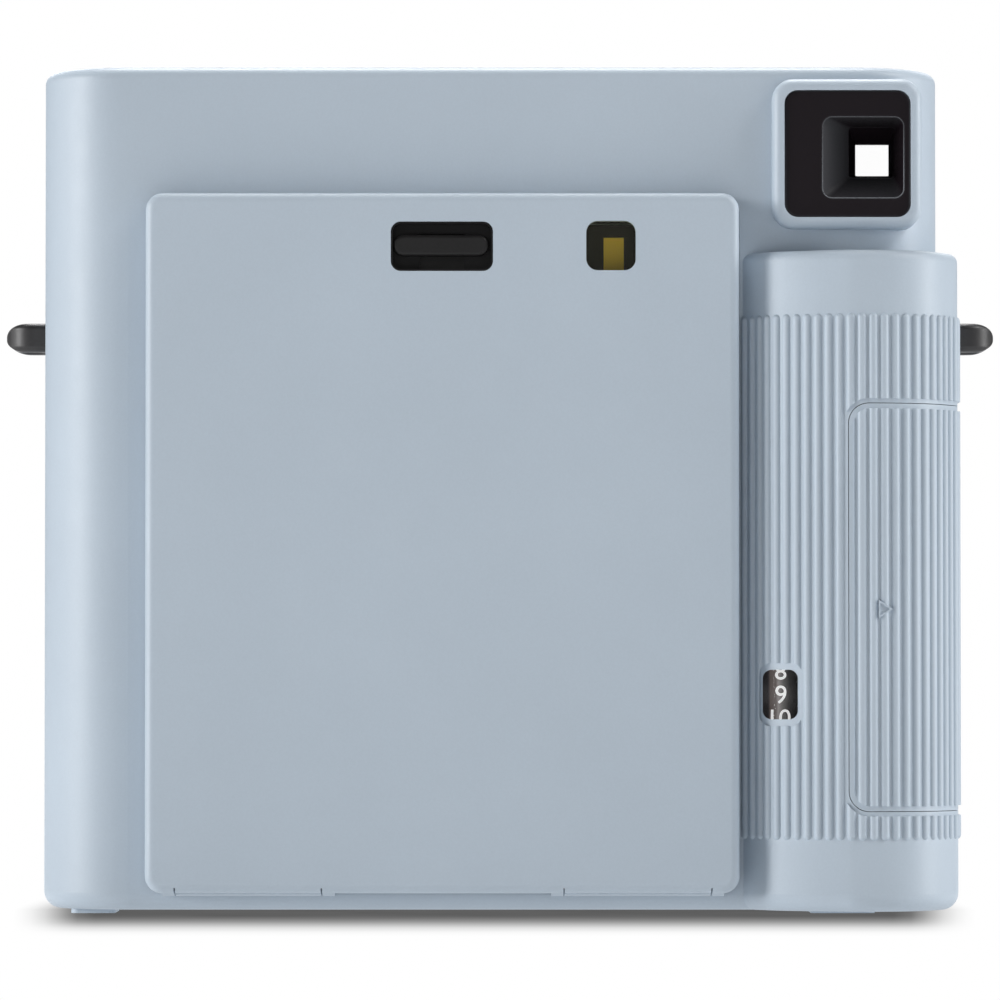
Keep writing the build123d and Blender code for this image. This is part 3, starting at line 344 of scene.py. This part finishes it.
# windows and lenses
dress("flash_tube", window("clear_window"))
dress("eyepiece_lens viewfinder_front_window",
      window("eyepiece_glass", tint=(1, 1, 1), sheen=0.006, rough=0.02, rim=0.05,
             dull=0.995))
dress("counter_window",
      window("counter_window", tint=(0.97, 0.97, 0.97), sheen=0.012, rough=0.06, rim=0.10))
dress("film_window", window("smoked_window", tint=(0.96, 0.95, 0.84), sheen=0.006, rim=0.05))
dress("sensor_window", window("sensor_window", tint=(0.10, 0.10, 0.11)))
dress("flash_window",
      window("flash_diffuser", tint=(0.85, 0.86, 0.87), sheen=0.08, haze=0.18,
             haze_color=(0.85, 0.86, 0.88), micro_bump=0.5))
dress("front_lens rear_lens",
      window("lens_glass", tint=(0.72, 0.78, 0.82), gloss=(0.62, 0.70, 1.0), sheen=0.10))

# metals
dress("door_hinge_pins base_screws roller_front roller_rear",
      metal("steel", (0.56, 0.56, 0.57), rough=0.25, stretch=(1, 30, 30)))
dress("button_spring pack_springs latch_spring",
      metal("spring_steel", (0.48, 0.48, 0.50), rough=0.3))
dress("drive_motor shutter_solenoid", metal("motor_can", (0.55, 0.56, 0.57), rough=0.32))
dress("battery_contacts", metal("contact_metal", (0.72, 0.68, 0.58), rough=0.22))
dress("flash_reflector", metal("reflector", (0.86, 0.86, 0.87), rough=0.12))
dress("selfie_mirror", metal("mirror", (0.9, 0.91, 0.92), rough=0.06, wear=0.0))
dress("shutter_blade_left shutter_blade_right",
      metal("blade_black", (0.05, 0.05, 0.052), rough=0.42))

# small parts
dress("roller_gear_front roller_gear_rear idler_gear motor_pinion",
      plastic("gear_plastic", (0.72, 0.71, 0.66), rough=0.4, grain_bump=0.05))
dress("battery_cells",
      plastic("cell_wrap", (0.045, 0.05, 0.06), rough=0.25, grain_bump=0.03, coat=0.3))
dress("film_stack", plastic("film_paper", (0.68, 0.68, 0.66), rough=0.35, grain_bump=0.03))
dress("pack_index_mark",
      plastic("yellow_mark", (0.80, 0.56, 0.06), rough=0.5, grain_bump=0.06, wear=0.1))
dress("film_slot_seal door_light_seal",
      plastic("foam", (0.015, 0.015, 0.016), rough=0.95, grain=1500.0, grain_bump=0.9,
              variation=0.3, wear=0.0, specular=0.1))
dress("flash_board main_board",
      plastic("board", (0.012, 0.10, 0.045), rough=0.3, grain_bump=0.05, coat=0.2))
dress("flash_capacitor",
      plastic("cap_sleeve", (0.012, 0.012, 0.03), rough=0.2, grain_bump=0.02, coat=0.3))
dress("counter_drum", drum())
white_ink = ink()

for piece, part in parts.items():
    part.data.materials.clear()
    part.data.materials.append(material_of[piece])


# ------------------------------------------------------------------ counter numerals
NUMERALS = 11
FACING_NUMERAL = 9           # the one turned to +Y
NUMERAL_STEP = 30.0          # degrees round the drum
NUMERAL_SIZE = 3.6 * MM
NUMERAL_MAX_WIDTH = 3.5 * MM
NUMERAL_X = -0.0393
SLICE = 0.22 * MM            # height of the slices that let a numeral bend
SLICES_EACH_WAY = 8
INK_THICKNESS = 0.03 * MM
INK_GAP = 0.004 * MM         # keeps the ink clear of the drum


def flat_numeral(number):
    """The number as a flat sliced bmesh in the XY plane."""
    curve = bpy.data.curves.new("num", "FONT")
    curve.body = str(number)
    curve.align_x = "CENTER"
    curve.align_y = "CENTER"
    curve.size = NUMERAL_SIZE
    curve.resolution_u = 6
    text = bpy.data.objects.new("num", curve)
    scene.collection.objects.link(text)
    bpy.context.view_layer.update()
    depsgraph = bpy.context.evaluated_depsgraph_get()
    mesh = bpy.data.meshes.new_from_object(text.evaluated_get(depsgraph))
    flat = bmesh.new()
    flat.from_mesh(mesh)
    bpy.data.objects.remove(text)
    bpy.data.meshes.remove(mesh)
    bmesh.ops.remove_doubles(flat, verts=flat.verts, dist=1e-6)
    for i in range(-SLICES_EACH_WAY, SLICES_EACH_WAY + 1):
        bmesh.ops.bisect_plane(flat, geom=flat.verts[:] + flat.edges[:] + flat.faces[:],
                               plane_co=(0, i * SLICE, 0), plane_no=(0, 1, 0))
    return flat


def wrap_numeral(shape, angle, radius, center_y, center_z):
    """Thickens the flat shape and bends it round the drum."""
    xs = [v.co.x for v in shape.verts]
    ys = [v.co.y for v in shape.verts]
    middle_x, middle_y = (min(xs) + max(xs)) / 2, (min(ys) + max(ys)) / 2
    fit = min(1.0, NUMERAL_MAX_WIDTH / (max(xs) - min(xs)))
    extruded = bmesh.ops.extrude_face_region(shape, geom=shape.faces[:])
    for item in extruded["geom"]:
        if isinstance(item, bmesh.types.BMVert):
            item.co.z += INK_THICKNESS
    for v in shape.verts:
        turn = angle + (v.co.y - middle_y) / radius
        reach = radius + INK_GAP + v.co.z
        v.co = Vector((NUMERAL_X - (v.co.x - middle_x) * fit,
                       center_y + reach * math.cos(turn),
                       center_z + reach * math.sin(turn)))
    bmesh.ops.recalc_face_normals(shape, faces=shape.faces[:])


def numerals():
    low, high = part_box("counter_drum")
    all_numerals = bmesh.new()
    for number in range(NUMERALS):
        shape = flat_numeral(number)
        wrap_numeral(shape, angle=math.radians(NUMERAL_STEP * (FACING_NUMERAL - number)),
                     radius=(high.z - low.z) / 2,
                     center_y=(low.y + high.y) / 2, center_z=(low.z + high.z) / 2)
        carrier = bpy.data.meshes.new("tmp")
        shape.to_mesh(carrier)
        shape.free()
        all_numerals.from_mesh(carrier)
        bpy.data.meshes.remove(carrier)
    mesh = bpy.data.meshes.new("counter_numerals")
    all_numerals.to_mesh(mesh)
    all_numerals.free()
    ob = bpy.data.objects.new("counter_numerals", mesh)
    scene.collection.objects.link(ob)
    ob.data.materials.append(white_ink)
    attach(ob, "counter")


numerals()

# ------------------------------------------------------------------ floor
SHADOW_START = 0.020         # distance from the XZ plane where the shadow starts to fade
SHADOW_REACH = 0.08          # length of the fade
FRONT_STRETCH = -1.5         # the shadow fades faster on the -Y side
SHADOW_MIDDLE_X = 0.0008
SIDE_FADE = (0.0557, 0.0672)  # half widths where the sides start and stop fading
# share of the reach, strength of the shadow
SHADOW_DEPTH = (
    (0.0, 0.885), (0.0725, 0.878), (0.17, 0.837), (0.266, 0.765), (0.361, 0.678),
    (0.454, 0.54), (0.546, 0.40), (0.635, 0.25), (0.724, 0.165), (0.811, 0.07),
    (0.90, 0.028), (1.0, 0),
)
# share of the side fade, strength of the shadow
SHADOW_SIDE = (
    (0.0, 1), (0.22, 0.93), (0.36, 0.76), (0.50, 0.54), (0.62, 0.33), (0.78, 0.13),
    (0.9, 0.04), (1.0, 0),
)


def floor_material():
    """The viewer sees white with a painted shadow; other rays meet a glowing gray floor."""
    m = new_graph("floor")
    place = m.node("SeparateXYZ", m.place)
    x, y = place["X"], place["Y"]
    away = m.math("SUBTRACT", m.math("MAXIMUM", y, m.times(y, FRONT_STRETCH)), SHADOW_START)
    depth = m.ramp(m.remap(away, span=(0.0, SHADOW_REACH)),
                   [(share, gray(value)) for share, value in SHADOW_DEPTH])
    # the width is measured as it spreads with nearness to the camera
    nearness = m.math("DIVIDE", CAMERA_PLACE.y - CAMERA_AIM.y,
                      m.math("SUBTRACT", CAMERA_PLACE.y, m.math("MAXIMUM", y, 0.0)))
    half_width = m.math("ABSOLUTE", m.times(m.add(x, -SHADOW_MIDDLE_X), nearness))
    side = m.ramp(m.remap(half_width, span=SIDE_FADE),
                  [(share, gray(value)) for share, value in SHADOW_SIDE])
    shadow = m.times(depth, side, m.remap(m.noise(60.0), to=(0.99, 1.01)))
    seen = m.node("CombineColor",
                  *[m.math("SUBTRACT", 1.0, shadow, clamp=True) for channel in range(3)])[0]
    surface = m.mix(m.noise(9.0), gray(0.24), gray(0.27))
    lit = m.node("AddShader", m.node("BsdfDiffuse", Color=surface)[0],
                 m.node("Emission", Color=(0.97, 0.985, 1), Strength=0.63)[0])[0]
    return m.close(m.node("MixShader", m.node("LightPath")["Is Camera Ray"], lit,
                          m.node("Emission", Color=seen)[0])[0])


def build_floor():
    material = floor_material()
    mesh = bpy.data.meshes.new("floor")
    grid = bmesh.new()
    bmesh.ops.create_grid(grid, x_segments=8, y_segments=8, size=6.0)
    grid.to_mesh(mesh)
    grid.free()
    floor = bpy.data.objects.new("floor", mesh)
    scene.collection.objects.link(floor)
    floor.data.materials.append(material)


build_floor()


# ------------------------------------------------------------------ world, lights, camera
def build_world():
    """White to the viewer, almost dark to every other ray."""
    scene.world = bpy.data.worlds.new("studio")
    w = Graph(scene.world, output="OutputWorld")
    w.close(w.node("MixShader", w.node("LightPath")["Is Camera Ray"],
                   w.node("Background", Color=gray(1), Strength=0.03)[0],
                   w.node("Background", Color=gray(1), Strength=1.0)[0])[0])


SUN_SPREAD = math.radians(24.0)
# name, azimuth in degrees from +Y towards +X, elevation in degrees, power
SUNS = (
    ("left", 72, 12, 2.04),
    ("left_back", 100, 12, 0.27),
    ("right", -86, 10, 1.31),
    ("upper_right", -72, 42, 1.29),
    ("upper", 176, 70, 2.5),
    ("middle", 0, 12, 0.14),
    ("front_a", 166, 26, 0.48),
    ("front_b", -163, 30, 0.34),
)


def build_sun(name, azimuth, elevation, power):
    light = bpy.data.lights.new(name, "SUN")
    light.energy = power
    light.angle = SUN_SPREAD
    ob = bpy.data.objects.new(name, light)
    scene.collection.objects.link(ob)
    a, e = math.radians(azimuth), math.radians(elevation)
    source = Vector((math.sin(a) * math.cos(e), math.cos(a) * math.cos(e), math.sin(e)))
    ob.rotation_euler = source.to_track_quat("Z", "Y").to_euler()


def build_camera():
    camera = bpy.data.cameras.new("camera")
    camera.sensor_width = 36.0
    camera.lens = 231.7
    camera.clip_start = 0.01
    camera.clip_end = 30.0
    ob = bpy.data.objects.new("camera", camera)
    scene.collection.objects.link(ob)
    ob.location = CAMERA_PLACE
    ob.rotation_euler = (CAMERA_AIM - CAMERA_PLACE).to_track_quat("-Z", "Y").to_euler()
    scene.camera = ob


build_world()
for sun in SUNS:
    build_sun(*sun)
build_camera()
scene.view_settings.view_transform = "Standard"
scene.view_settings.look = "None"
